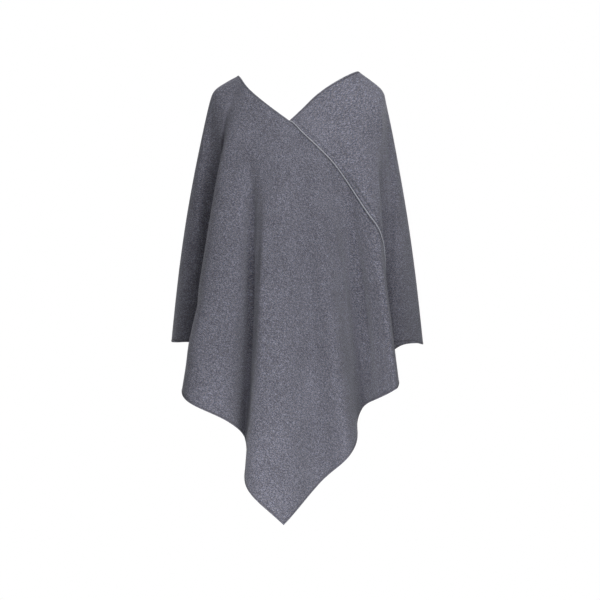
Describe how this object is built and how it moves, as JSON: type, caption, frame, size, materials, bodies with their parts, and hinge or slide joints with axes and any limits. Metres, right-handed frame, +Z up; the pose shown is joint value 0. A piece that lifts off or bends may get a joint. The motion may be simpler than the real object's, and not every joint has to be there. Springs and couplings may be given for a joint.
{
  "type": "knitted poncho sweater",
  "caption": "Knitted poncho of two rectangles sewn end to side, draped as worn, hollow, with a V neck, pointed front and back hems and loose sleeves.",
  "frame": {"origin": "midway between the two peaks of the neck edge, where the poncho rests on the wearer's shoulders", "axes": "+Z up, -Y to the wearer's front, +X to the wearer's left"},
  "size_m": [0.5794, 0.3645, 0.9935],
  "materials": {
    "knit": "matte fine melange knit"
  },
  "bodies": {
    "root": {"right_panel": "knit", "left_panel": "knit"}
  },
  "joints": []
}
